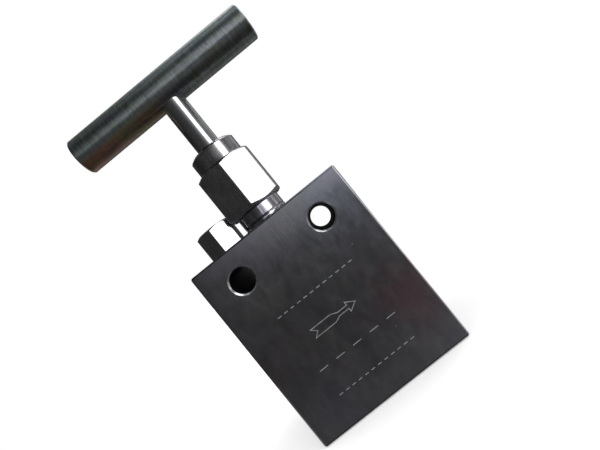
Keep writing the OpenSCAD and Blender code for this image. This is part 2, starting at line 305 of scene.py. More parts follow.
def cut(ob, cutters, transfer=False):
    """Subtracts closed cutters and removes them; transfer keeps their materials."""
    for cutter in cutters:
        boolean = ob.modifiers.new("cut", "BOOLEAN")
        boolean.operation = "DIFFERENCE"
        boolean.object = cutter
        boolean.solver = "EXACT"
        if transfer:
            boolean.material_mode = "TRANSFER"
        bpy.context.view_layer.update()
        graph = bpy.context.evaluated_depsgraph_get()
        mesh = bpy.data.meshes.new_from_object(ob.evaluated_get(graph), depsgraph=graph)
        ob.modifiers.clear()
        old = ob.data
        ob.data = mesh
        bpy.data.meshes.remove(old)
    for cutter in cutters:
        bpy.data.objects.remove(cutter, do_unlink=True)


def assign_faces(ob, pick, materials):
    """Gives each face the material whose index pick(centre, normal) returns."""
    for material in materials:
        ob.data.materials.append(material)
    chosen = [pick(face.center, face.normal) for face in ob.data.polygons]
    ob.data.polygons.foreach_set("material_index", chosen)


def finish_piece(ob, body, node, sharp_deg, material=None):
    """Scales a piece to metres, shades it and hangs it on its body."""
    mesh = ob.data
    places = np.empty(len(mesh.vertices) * 3)
    mesh.vertices.foreach_get("co", places)
    mesh.vertices.foreach_set("co", places * MM)
    mesh.update()
    if material is not None:
        mesh.materials.clear()
        mesh.materials.append(material)
    mesh.polygons.foreach_set("use_smooth", [True] * len(mesh.polygons))
    mesh.set_sharp_from_angle(angle=math.radians(sharp_deg))
    normals = ob.modifiers.new("normals", "WEIGHTED_NORMAL")
    normals.mode = "FACE_AREA"
    normals.weight = 60
    normals.keep_sharp = True
    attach(ob, body)
    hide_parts(node)


# ---------------------------------------------------------------- shader node helpers
class Net:
    """Short calls that add nodes to a shader tree; each returns an output socket."""

    def __init__(self, tree):
        self.tree = tree
        tree.nodes.clear()
        self.node = tree.nodes.new
        self.link = tree.links.new

    def put(self, socket, value):
        if isinstance(value, (int, float)):
            socket.default_value = value
        elif isinstance(value, tuple):
            socket.default_value = (*value, 1)
        else:
            self.link(value, socket)

    def math(self, operation, a, b=0.0, clamp=False):
        node = self.node("ShaderNodeMath")
        node.operation = operation
        node.use_clamp = clamp
        self.put(node.inputs[0], a)
        self.put(node.inputs[1], b)
        return node.outputs[0]

    def times(self, *values):
        return reduce(lambda a, b: self.math("MULTIPLY", a, b), values)

    def plus(self, *values):
        return reduce(lambda a, b: self.math("ADD", a, b), values)

    def vector(self, *values):
        node = self.node("ShaderNodeCombineXYZ")
        for socket, value in zip(node.inputs, values):
            self.put(socket, value)
        return node.outputs[0]

    def split(self, vector):
        node = self.node("ShaderNodeSeparateXYZ")
        self.link(vector, node.inputs[0])
        return node.outputs

    def noise(self, vector, scale=1.0, detail=3.0, rough=0.5, warp=0.0):
        node = self.node("ShaderNodeTexNoise")
        self.link(vector, node.inputs["Vector"])
        node.inputs["Scale"].default_value = scale
        node.inputs["Detail"].default_value = detail
        node.inputs["Roughness"].default_value = rough
        node.inputs["Distortion"].default_value = warp
        return node.outputs["Fac"]

    def ramp(self, factor, stops):
        """Colour ramp from (position, grey or colour) stops."""
        node = self.node("ShaderNodeValToRGB")
        elements = node.color_ramp.elements
        elements.remove(elements[-1])
        for i, (position, tone) in enumerate(stops):
            element = elements[0] if i == 0 else elements.new(position)
            element.position = position
            element.color = (*tone, 1) if isinstance(tone, tuple) else (tone, tone, tone, 1)
        self.link(factor, node.inputs["Fac"])
        return node.outputs["Color"]

    def fade(self, value, start, end, low=0, high=1, clamp=True):
        """low at start, high at end, and held beyond both."""
        node = self.node("ShaderNodeMapRange")
        node.clamp = clamp
        self.put(node.inputs["Value"], value)
        names = ("From Min", "From Max", "To Min", "To Max")
        for name, number in zip(names, (start, end, low, high)):
            node.inputs[name].default_value = number
        return node.outputs["Result"]

    def spread(self, value, low, high, margin=0.3):
        """Noise stretched from margin .. 1 - margin to low .. high, without limits."""
        return self.fade(value, margin, 1 - margin, low, high, clamp=False)

    def band(self, value, start0, end0, start1, end1):
        """The product of two fades of one value."""
        return self.times(self.fade(value, start0, end0), self.fade(value, start1, end1))

    def mix(self, factor, a, b, mode="MIX"):
        node = self.node("ShaderNodeMix")
        node.data_type = "RGBA"
        node.blend_type = mode
        self.put(node.inputs["Factor"], factor)
        self.put(node.inputs[6], a)
        self.put(node.inputs[7], b)
        return node.outputs[2]

    def tone(self, colour, tint):
        return self.mix(1.0, colour, tint, "MULTIPLY")

    def tone_where(self, mask, colour, tint):
        return self.mix(mask, colour, self.tone(colour, tint))


class Surface(Net):
    """A new material with a principled shader; positions are in millimetres."""

    def __init__(self, name):
        self.mat = bpy.data.materials.new(name)
        self.mat.use_nodes = True
        super().__init__(self.mat.node_tree)
        output = self.node("ShaderNodeOutputMaterial")
        self.shader = self.node("ShaderNodeBsdfPrincipled")
        self.link(self.shader.outputs[0], output.inputs["Surface"])
        coords = self.node("ShaderNodeTexCoord")
        to_mm = self.node("ShaderNodeVectorMath")
        to_mm.operation = "SCALE"
        self.link(coords.outputs["Object"], to_mm.inputs[0])
        to_mm.inputs["Scale"].default_value = 1000.0
        self.pos = to_mm.outputs[0]
        self.x, self.y, self.z = self.split(self.pos)

    def mapped(self, scale, offset=(0, 0, 0), rotation=(0, 0, 0)):
        node = self.node("ShaderNodeMapping")
        self.link(self.pos, node.inputs["Vector"])
        node.inputs["Scale"].default_value = scale
        node.inputs["Location"].default_value = offset
        node.inputs["Rotation"].default_value = rotation
        return node.outputs[0]

    def stretched(self, scale, offset=(0, 0, 0), rotation=(0, 0, 0), **noise):
        """Noise with its own scale along each axis."""
        return self.noise(self.mapped(scale, offset, rotation), **noise)

    def distance(self, point):
        node = self.node("ShaderNodeVectorMath")
        node.operation = "DISTANCE"
        self.link(self.pos, node.inputs[0])
        node.inputs[1].default_value = point
        return node.outputs["Value"]

    def finish(self, colour, rough, height, bump_mm, strength=1.0, metallic=1.0):
        """Feeds the shader; height makes bumps of about bump_mm."""
        bump = self.node("ShaderNodeBump")
        bump.inputs["Strength"].default_value = strength
        bump.inputs["Distance"].default_value = bump_mm * MM
        self.link(height, bump.inputs["Height"])
        inputs = self.shader.inputs
        self.put(inputs["Base Color"], colour)
        self.put(inputs["Metallic"], metallic)
        self.put(inputs["Roughness"], rough)
        self.link(bump.outputs["Normal"], inputs["Normal"])
        return self.mat


# ---------------------------------------------------------------- materials
def steel(name, dark, light, rough, lines, pitch, contrast, mottle, rough_var=0.06,
          scratch=0.15, tint=None, bump_mm=0.004, line_rough=0.05, streak=0.0):
    """Metal with slow tone changes, fine tool lines, sparse scratches and smudged roughness.

    lines: "z" along Z, "round" in rings about Z, "grain" without direction.
    pitch and mottle are the sizes in mm of the lines and of the tone changes.
    """
    net = Surface(name)
    slow = net.noise(net.pos, 1 / mottle, detail=4, rough=0.55, warp=0.6)
    slow2 = net.noise(net.mapped((1, 1, 1), offset=(31, 7, 19)), 1 / (mottle * 0.45),
                      detail=3, rough=0.6, warp=0.3)
    grain = net.noise(net.pos, 2.6, detail=2, rough=0.6)
    if lines == "z":
        along = net.mapped((1 / pitch, 1 / pitch, 0.02 / pitch))
    elif lines == "round":
        # a slight slant stops the rings from being level
        slanted = net.plus(net.z, net.times(net.math("ARCTAN2", net.y, net.x), 0.03))
        along = net.vector(net.times(slanted, 1 / pitch), 0.0, 0.0)
    else:
        along = net.mapped((1 / pitch, 1 / pitch, 1 / pitch))
    fine = net.noise(along, 1.0, detail=2, rough=0.7)
    coarse = net.noise(along, 0.31, detail=2, rough=0.6)

    base = net.mix(net.fade(slow, 0.3, 0.7), dark, light)
    if tint is not None:
        base = net.mix(net.fade(slow2, 0.42, 0.68, high=0.75), base, tint)
    shade = net.times(
        net.spread(fine, 1 - contrast, 1 + contrast * 0.6, margin=0.25),
        net.spread(coarse, 1 - contrast * 0.6, 1 + contrast * 0.45, margin=0.25),
        net.spread(grain, 0.96, 1.04))
    base = net.tone(base, shade)
    if streak > 0:
        upright = net.stretched((1.1, 1.1, 0.16), (13, 5, 2), detail=3, rough=0.7, warp=0.3)
        base = net.tone(base, net.ramp(upright, [
            (0.32, (1 - streak, 1 - streak, 1 - streak * 0.9)),
            (0.45, (1 - streak * 0.2, 1 - streak * 0.25, 1.0)),
            (0.55, (1.0, 1 - streak * 0.1, 1 - streak * 0.15)),
            (0.68, (1 + streak * 0.5, 1 + streak * 0.5, 1 + streak * 0.55))]))
    # sparse fine scratches at a slant
    scratches = net.stretched((7.0, 0.16, 7.0), rotation=(0.5, 0.7, 0.4), detail=1.5)
    scratches = net.times(net.fade(scratches, 0.70, 0.78),
                          net.fade(slow2, 0.45, 0.6, high=scratch))
    base = net.mix(scratches, base, tuple(min(1, c * 1.5) for c in light))

    roughness = net.plus(net.spread(slow, rough - rough_var, rough + rough_var),
                         net.spread(fine, -line_rough, line_rough),
                         net.times(scratches, 0.1))
    height = net.plus(net.times(fine, 0.7), net.times(coarse, 0.5), net.times(grain, 0.12))
    height = net.math("SUBTRACT", height, net.times(scratches, 0.6))
    return net.finish(base, net.math("MAXIMUM", roughness, 0.04), height, bump_mm)


# soft tints on the block: centre, radius (mm), colour, amount
BLOCK_TINTS = [
    ((17, -22, 17), 13, (0.52, 0.345, 0.365), 0.85),
    ((-13, -22, 7), 12, (0.43, 0.43, 0.50), 0.7),
    ((-20, -22, 22), 9, (0.49, 0.42, 0.42), 0.6),
    ((8, -22, 10), 10, (0.44, 0.44, 0.46), 0.6),
    ((17, -22, 42), 13, (0.48, 0.50, 0.57), 0.8),
    ((4, -22, 42), 8, (0.365, 0.37, 0.385), 0.8),
    ((-10, -22, 37), 11, (0.455, 0.46, 0.44), 0.5),
    ((12, 22, 20), 15, (0.50, 0.42, 0.40), 0.6),
    ((-12, 22, 38), 14, (0.42, 0.44, 0.49), 0.6),
    ((22, 4, 44), 12, (0.46, 0.44, 0.48), 0.6),
    ((-22, -6, 40), 13, (0.44, 0.45, 0.49), 0.6)]


def block_steel():
    """Ground steel: clouded tints, fine grinding lines, small specks and handling marks."""
    net = Surface("block_ground_steel")
    swell = net.stretched((0.06, 0.06, 0.05), detail=3)
    cloud = net.stretched((0.085, 0.085, 0.055), (3, 1, 8), detail=4, rough=0.58, warp=0.8)
    patchy = net.stretched((0.12, 0.12, 0.09), (17, 4, 2), detail=4, rough=0.6, warp=1.0)
    mottle = net.stretched((0.32, 0.32, 0.2), (5, 9, 31), detail=3, rough=0.6, warp=0.4)
    colour = net.ramp(cloud, [
        (0.28, (0.385, 0.400, 0.425)), (0.42, (0.425, 0.432, 0.440)),
        (0.50, (0.45, 0.438, 0.455)), (0.58, (0.44, 0.450, 0.440)),
        (0.72, (0.49, 0.480, 0.492))])
    colour = net.mix(net.fade(patchy, 0.48, 0.66, high=0.55), colour, (0.455, 0.395, 0.390))
    colour = net.mix(net.fade(patchy, 0.50, 0.30, high=0.5), colour, (0.385, 0.40, 0.455))
    for centre, radius, tint, amount in BLOCK_TINTS:
        mask = net.plus(net.fade(net.distance(centre), 0, radius, low=1, high=0),
                        net.spread(patchy, -0.45, 0.35))
        mask = net.math("MULTIPLY", mask, 1.4, clamp=True)
        colour = net.mix(net.times(mask, amount), colour, tint)
    colour = net.tone(colour, net.spread(mottle, 0.90, 1.08))
    blots = net.stretched((0.55, 0.55, 0.42), (8, 2, 5), detail=3, rough=0.65, warp=0.8)
    colour = net.tone(colour, net.spread(blots, 0.94, 1.06))
    # grinding lines along Z
    fine = net.stretched((9.0, 9.0, 0.30), detail=3, rough=0.72)
    wide = net.stretched((1.7, 1.7, 0.06), detail=3, rough=0.6)
    colour = net.tone(colour, net.spread(fine, 0.94, 1.06, margin=0.25))
    colour = net.tone(colour, net.spread(wide, 0.985, 1.015))

    # scratches at two slants, strongest in a rubbed spot below the top front edge
    slants = [((0.35, 0.62, 0.2), (0, 0, 0)), ((0.2, -0.95, 0.1), (40, 3, 9))]
    scratches = net.math("MAXIMUM", *[
        net.fade(net.stretched((6.0, 6.0, 0.11), offset, rotation, detail=1.5), 0.705, 0.76)
        for rotation, offset in slants])
    rub = net.fade(net.distance((5.0, -22.0, 50.5)), 3.0, 9.0, low=0.75, high=0)
    worn = net.math("ADD", net.fade(mottle, 0.5, 0.66, high=0.16), rub, clamp=True)
    scratches = net.times(scratches, worn)
    # a few long hairlines in the rubbed spot
    hair = net.stretched((3.2, 1.0, 0.05), rotation=(0.0, 0.55, 0.0), detail=2, rough=0.6)
    hair = net.times(net.fade(hair, 0.60, 0.68), net.times(rub, 0.5))
    scratches = net.math("MAXIMUM", scratches, hair)
    colour = net.mix(scratches, colour, (0.72, 0.72, 0.72))
    # specks
    cells = net.node("ShaderNodeTexVoronoi")
    net.link(net.pos, cells.inputs["Vector"])
    cells.inputs["Scale"].default_value = 0.33
    specks = net.times(net.fade(cells.outputs["Distance"], 0.035, 0.075, low=1, high=0),
                       net.fade(patchy, 0.5, 0.6))
    colour = net.mix(net.times(specks, 0.7), colour, (0.75, 0.73, 0.70))
    # the top face is darker and duller than the sides
    top = net.fade(net.z, TOP - 0.10, TOP - 0.02)
    colour = net.tone_where(top, colour, (0.56, 0.56, 0.58))

    roughness = net.plus(net.spread(cloud, 0.135, 0.19), net.spread(mottle, -0.025, 0.03),
                         net.spread(fine, -0.015, 0.015),
                         net.times(net.math("MAXIMUM", scratches, specks), 0.2),
                         net.times(top, 0.24))
    height = net.plus(net.times(fine, 0.5), net.times(wide, 0.3), net.times(swell, 6.0))
    height = net.math("SUBTRACT", height, net.times(scratches, 0.8))
    height = net.plus(height, net.times(specks, 1.5))
    return net.finish(colour, roughness, height, bump_mm=0.0016)


def bar_steel():
    """Turned bar: tool rings about X, greenish grey sheen, brown stain low on the -X half; painted
    shade and painted reflection lines on its underside.
    """
    net = Surface("bar_turned_steel")

    def level(offset):
        return BAR_Z + offset

    wobble = net.noise(net.pos, 0.5, detail=2)
    rings = net.vector(net.plus(net.times(net.x, 7.0), net.times(wobble, 0.5)),
                       net.times(net.y, 0.10), net.times(net.z, 0.10))
    fine = net.noise(rings, detail=3, rough=0.75)
    rings = net.vector(net.times(net.x, 1.25), net.times(net.y, 0.05), net.times(net.z, 0.05))
    wide = net.noise(rings, detail=3, rough=0.6)
    lengthwise = net.stretched((0.05, 1.1, 1.1), detail=3, rough=0.6)
    cloud = net.stretched((0.09, 0.3, 0.3), detail=4, rough=0.6, warp=0.6)
    colour = net.ramp(cloud, [(0.3, (0.335, 0.375, 0.370)), (0.5, (0.38, 0.415, 0.41)),
                              (0.7, (0.425, 0.455, 0.45))])
    short = net.stretched((2.3, 0.42, 0.42), (2, 9, 5), detail=3, rough=0.7)
    colour = net.tone(colour, net.spread(fine, 0.72, 1.24, margin=0.25))
    colour = net.tone(colour, net.spread(short, 0.74, 1.26))
    colour = net.tone(colour, net.spread(wide, 0.90, 1.10))
    colour = net.tone(colour, net.spread(lengthwise, 0.93, 1.06))
    # darker toward -X, with a dull patch on the front there
    colour = net.tone(colour, net.fade(net.x, -30, 26, low=0.70, high=1.0))
    dull = net.times(net.band(net.z, level(-0.6), level(0.5), level(6.0), level(2.0)),
                     net.fade(net.x, 10, -12), net.fade(net.y, 0, -2),
                     net.fade(cloud, 0.3, 0.6, low=0.5, high=1.0))
    colour = net.tone_where(dull, colour, (0.64, 0.66, 0.66))
    # a narrow darker line above mid-height toward +X
    line = net.times(net.band(net.z, level(0.9), level(1.7), level(3.1), level(2.2)),
                     net.fade(net.x, 0, 16))
    colour = net.tone_where(line, colour, (0.64, 0.70, 0.76))
    # faint green, violet and straw tints
    tint = net.stretched((0.16, 0.33, 0.33), (4, 11, 7), detail=3, rough=0.6, warp=0.5)
    colour = net.tone(colour, net.ramp(tint, [
        (0.34, (1.05, 0.96, 1.10)), (0.43, (0.97, 0.99, 1.05)), (0.50, (1.0, 1.0, 1.0)),
        (0.57, (0.94, 1.06, 0.99)), (0.66, (1.08, 1.02, 0.88))]))
    # brown stain, low on the front of the -X half
    low = net.fade(net.z, level(-2.0), level(-3.8))
    left = net.fade(net.x, 1.0, -7.0)
    front = net.fade(net.y, 2.0, -1.0)
    stain = net.times(net.times(low, left),
                      net.times(front, net.fade(cloud, 0.25, 0.6, low=0.35, high=1.0)))
    colour = net.mix(net.times(stain, 0.85), colour, net.ramp(tint, [
        (0.36, (0.58, 0.37, 0.36)), (0.44, (0.80, 0.38, 0.28)), (0.50, (0.78, 0.45, 0.24)),
        (0.56, (0.58, 0.46, 0.22)), (0.64, (0.46, 0.46, 0.26))]))
    # painted shade on the underside round the spindle; toward +X a painted dark reflection line and
    # a thin painted highlight along it
    shade_under_spindle = net.times(net.fade(net.z, level(-2.8), level(-3.8)),
                      net.band(net.x, -18, -8, 10, 4))
    colour = net.tone_where(shade_under_spindle, colour, (0.76, 0.75, 0.74))
    reflection_lines_toward_x = net.fade(net.x, 4, 9)
    # painted dark reflection line toward +X
    line = net.times(reflection_lines_toward_x, net.band(net.z, level(-2.5), level(-3.3), level(-4.75), level(-4.35)))
    colour = net.tone_where(line, colour, (0.74, 0.72, 0.66))
    # thin painted highlight line toward +X
    line = net.times(reflection_lines_toward_x, net.band(net.z, level(-4.5), level(-4.75), level(-5.15), level(-4.95)))
    colour = net.tone_where(line, colour, (1.22, 1.19, 1.14))
    # small dark pits
    pits = net.fade(net.noise(net.pos, 1.9, detail=2), 0.69, 0.75, high=0.8)
    colour = net.mix(pits, colour, (0.12, 0.12, 0.12))

    roughness = net.plus(net.spread(cloud, 0.36, 0.41), net.spread(fine, -0.04, 0.04))
    height = net.plus(net.times(fine, 0.8), net.times(wide, 0.8))
    height = net.math("SUBTRACT", height, net.times(pits, 1.0))
    # the highlight is drawn out by the rings about X
    tangent = net.node("ShaderNodeTangent")
    tangent.direction_type = "RADIAL"
    tangent.axis = "X"
    net.link(tangent.outputs[0], net.shader.inputs["Tangent"])
    net.shader.inputs["Anisotropic"].default_value = 0.86
    net.shader.inputs["Anisotropic Rotation"].default_value = 0.25
    return net.finish(colour, roughness, height, bump_mm=0.0045)


def etched():
    net = Surface("etched_marking")
    fine = net.noise(net.pos, 7.0, detail=3, rough=0.7)
    slow = net.noise(net.pos, 1.1, detail=2)
    colour = net.ramp(net.times(net.plus(fine, slow), 0.5), [
        (0.3, (0.17, 0.17, 0.18)), (0.5, (0.30, 0.30, 0.31)), (0.72, (0.44, 0.44, 0.44))])
    return net.finish(colour, net.fade(fine, 0.3, 0.7, low=0.55, high=0.8), fine,
                      bump_mm=0.02, strength=0.8, metallic=0.25)


def plastic(name, dark, light, rough):
    net = Surface(name)
    slow = net.noise(net.pos, 1 / 3.0, detail=4, rough=0.6, warp=0.2)
    grain = net.noise(net.pos, 9.0, detail=2, rough=0.6)
    rings = net.noise(net.vector(net.times(net.z, 9.0), 0.0, 0.0), detail=2, rough=0.6)
    colour = net.mix(net.fade(slow, 0.3, 0.7), dark, light)
    height = net.plus(net.times(grain, 0.4), net.times(rings, 0.6))
    return net.finish(colour, net.fade(slow, 0.3, 0.7, low=rough - 0.06, high=rough + 0.08),
                      height, bump_mm=0.006, strength=0.7, metallic=0.0)


block_mat = block_steel()
bar_mat = bar_steel()
# near-black bore walls: painted shade inside the drillings, ports and mounting holes
bore_shade_mat = steel("drilled_steel", dark=(0.022, 0.022, 0.024), light=(0.05, 0.048, 0.05),
                 rough=0.5, lines="round", pitch=0.18, contrast=0.2, mottle=6.0, bump_mm=0.006)
sink_mat = steel("countersunk_steel", dark=(0.80, 0.80, 0.82), light=(0.90, 0.90, 0.91),
                 rough=0.26, lines="grain", pitch=0.2, contrast=0.08, mottle=4.0,
                 rough_var=0.04, scratch=0.2, bump_mm=0.003, line_rough=0.03)
hex_mat = steel("hexagon_drawn_steel", dark=(0.56, 0.56, 0.57), light=(0.68, 0.68, 0.69),
                rough=0.17, lines="z", pitch=0.12, contrast=0.10, mottle=7.0,
                rough_var=0.04, scratch=0.2, bump_mm=0.002, line_rough=0.02)
turned_mat = steel("collar_turned_steel", dark=(0.51, 0.51, 0.53), light=(0.70, 0.70, 0.71),
                   rough=0.16, lines="round", pitch=0.11, contrast=0.22, mottle=5.0,
                   rough_var=0.04, scratch=0.12, tint=(0.50, 0.47, 0.47), line_rough=0.03,
                   streak=0.34)
facet_mat = steel("chamfer_turned_steel", dark=(0.58, 0.57, 0.60), light=(0.76, 0.76, 0.77),
                  rough=0.46, lines="round", pitch=0.11, contrast=0.18, mottle=5.0,
                  rough_var=0.04, scratch=0.1, line_rough=0.03)
end_mat = steel("faced_end_steel", dark=(0.27, 0.27, 0.28), light=(0.36, 0.36, 0.37),
                rough=0.42, lines="round", pitch=0.11, contrast=0.22, mottle=4.0,
                rough_var=0.05, scratch=0.12, line_rough=0.03)
spindle_mat = steel("spindle_polished_steel", dark=(0.60, 0.61, 0.62), light=(0.70, 0.70, 0.71),
                    rough=0.12, lines="round", pitch=0.07, contrast=0.10, mottle=8.0,
                    rough_var=0.03, scratch=0.05, bump_mm=0.0012, line_rough=0.02)
inner_mat = steel("inner_turned_steel", dark=(0.52, 0.52, 0.53), light=(0.66, 0.66, 0.67),
                  rough=0.22, lines="round", pitch=0.12, contrast=0.2, mottle=5.0,
                  rough_var=0.05)
dark_mat = steel("black_oxide_screw", dark=(0.045, 0.046, 0.05), light=(0.075, 0.075, 0.08),
                 rough=0.42, lines="grain", pitch=0.2, contrast=0.2, mottle=2.0,
                 rough_var=0.08, scratch=0.4, bump_mm=0.006)
bronze_mat = steel("bearing_bronze", dark=(0.55, 0.36, 0.16), light=(0.70, 0.50, 0.26),
                   rough=0.25, lines="round", pitch=0.1, contrast=0.18, mottle=3.0,
                   rough_var=0.05)
etch_mat = etched()
ptfe_mat = plastic("white_fluoropolymer", dark=(0.80, 0.80, 0.77), light=(0.90, 0.90, 0.88),
                   rough=0.42)
ptfe_inputs = ptfe_mat.node_tree.nodes["Principled BSDF"].inputs
ptfe_inputs["Subsurface Weight"].default_value = 0.15
ptfe_inputs["Subsurface Scale"].default_value = 0.001
rubber_mat = plastic("black_wiper_rubber", dark=(0.016, 0.016, 0.016), light=(0.03, 0.03, 0.03),
                     rough=0.5)


# ---------------------------------------------------------------- the block
def bore_cutter(name, path, count, reshape=None, **place):
    cutter = lathe(name, path, ring_angles(count), reshape, **place)
    cutter.data.materials.append(bore_shade_mat)
    return cutter


def hole_cutter(side):
    """Mounting hole from front to back, countersunk at both ends."""
    path = dense(rounded([
        (0, -HALF - 1), (HOLE_R + HOLE_SINK + 1, -HALF - 1), (HOLE_R + HOLE_SINK, -HALF),
        (HOLE_R, -HALF + HOLE_SINK, 0.10), (HOLE_R, HALF - HOLE_SINK, 0.10),
        (HOLE_R + HOLE_SINK, HALF), (HOLE_R + HOLE_SINK + 1, HALF + 1), (0, HALF + 1)], 4), 4.0)
    cutter = lathe(f"cut_hole_{side}", path, ring_angles(144), axis="y",
                   origin=(side * HOLE_X, 0, HOLE_Z))

    def pick(centre, normal):
        away = math.hypot(centre.x - side * HOLE_X, centre.z - HOLE_Z)
        return 1 if away > HOLE_R + 0.02 else 0

    assign_faces(cutter, pick, [bore_shade_mat, sink_mat])
    return cutter


def port_cutter(side, axis):
    """Tapped pipe port that tapers inwards."""
    lead = -HALF + (PORT_MOUTH_R - PORT_R)
    path = [(0, -HALF - 1), (PORT_MOUTH_R + 1, -HALF - 1), (PORT_MOUTH_R, -HALF), (PORT_R, lead)]
    path += column(PORT_R, lead, -HALF + 15.01, 0.1)
    path += [(2.4, -HALF + 16.6), (0, -HALF + 17.2)]

    def reshape(radius, z, angle):
        taper = np.clip((z + HALF) / 32.0, 0, 1)
        crest = thread_height(z, angle, PORT_PITCH, phase=0.1)
        tapped = run_out(z, -HALF + 0.6, -HALF + 13.2, 0.8)
        grow = (1 - crest) * PORT_DEPTH * tapped + 0.35 * (1 - taper) * tapped
        wall = (radius > PORT_R - 0.02) & (z > -HALF + 0.5) & (radius < PORT_R + 0.06)
        return np.where(wall, radius + grow, radius)

    return bore_cutter(f"cut_port_{side}", path, 120, reshape, axis=axis, origin=(0, 0, PORT_Z))


def stem_bore_cutter():
    """Stepped bore on the axis, widening upwards from z = 9.2."""
    path = rounded([
        (0, 9.2), (0.2, 9.2), (2, 10.2), (2, 17, 0.05), (4, 17, 0.1), (4, 28, 0.05),
        (5, 28, 0.1), (5, 41.4, 0.05), (7.02, 41.4, 0.1), (7.02, TOP - 0.75, 0.1),
        (7.8, TOP + 0.03), (7.8, TOP + 1), (0, TOP + 1)], 3)
    return bore_cutter("cut_stem_bore", dense(path, 3.0), 144)


def lock_hole_cutter():
    path = [(0, TOP - 4.2), (2.52, TOP - 4.2), (2.52, TOP - 0.3), (2.85, TOP + 0.03),
            (2.85, TOP + 1), (0, TOP + 1)]
    return bore_cutter("cut_lock_hole", dense(path, 2.0), 64, origin=(LOCK_X, 0, 0))


def outlet_cutter():
    """Level drilling from the stem bore to the +X port."""
    end = WIDTH / 2 - 15
    return bore_cutter("cut_outlet", [(0, 2), (2.4, 2), (2.4, end), (0, end)], 64,
                       axis="x", origin=(0, 0, PORT_Z))


def inlet_cutter():
    """Sloping drilling from the foot of the stem bore up toward -X."""
    cutter = bore_cutter("cut_inlet", [(0, 0), (1.9, 0), (1.9, 14), (0, 14)], 64)
    slope = Matrix.Rotation(math.radians(-52), 4, "Y")
    cutter.data.transform(Matrix.Translation((0, 0, 10.6)) @ slope)
    return cutter


def marking_cutter():
    """Closed prisms for the front face: the outlined arrow, and dashes above and below it."""
    outside = -HALF - 0.4
    n = len(ARROW_OUTER)
    verts = [(x, y, z + ARROW_Z) for y in (outside, -HALF + ARROW_CUT)
             for ring in (ARROW_OUTER, ARROW_INNER) for x, z in ring]
    faces = []
    inner, back, back_inner = n, 2 * n, 3 * n    # first vertex of each ring after the outer
    for k in range(n):
        m = (k + 1) % n
        faces += [(k, m, inner + m, inner + k),
                  (back + m, back + k, back_inner + k, back_inner + m),
                  (m, k, back + k, back + m),
                  (inner + k, inner + m, back_inner + m, back_inner + k)]
    for height, centres, length, wide in MARK_ROWS:
        for x in centres:
            x0, x1 = x - length / 2, x + length / 2
            z0, z1 = height - wide / 2, height + wide / 2
            first = len(verts)
            verts += [(x, y, z) for y in (outside, -HALF + DASH_CUT)
                      for x, z in ((x0, z0), (x1, z0), (x1, z1), (x0, z1))]
            faces += [tuple(first + k for k in (0, 1, 2, 3)),
                      tuple(first + k for k in (7, 6, 5, 4))]
            faces += [(first + (k + 1) % 4, first + k, first + 4 + k, first + 4 + (k + 1) % 4)
                      for k in range(4)]
    cutter = mesh_object("cut_marks", verts, faces)
    cutter.data.materials.append(etch_mat)
    return cutter


def build_block():
    bm = cuboid((WIDTH, DEPTH, TOP), (0, 0, TOP / 2))
    # chamfered edges, then every edge of the chamfers lightly rounded
    for offset, segments in ((BLOCK_CHAMFER, 1), (CHAMFER_ROUND, 4)):
        bmesh.ops.bevel(bm, geom=bm.edges[:], offset=offset, offset_type="OFFSET",
                        segments=segments, profile=0.5, affect="EDGES", clamp_overlap=True)
    bmesh.ops.recalc_face_normals(bm, faces=bm.faces)
    block = bmesh_object("valve_block", bm)
    block.data.materials.append(block_mat)
    cutters = [hole_cutter(-1), hole_cutter(1), port_cutter(-1, "x"), port_cutter(1, "-x"),
               stem_bore_cutter(), lock_hole_cutter(), outlet_cutter(), inlet_cutter(),
               marking_cutter()]
    cut(block, cutters, transfer=True)
    finish_piece(block, "valve", "valve_body", sharp_deg=30)


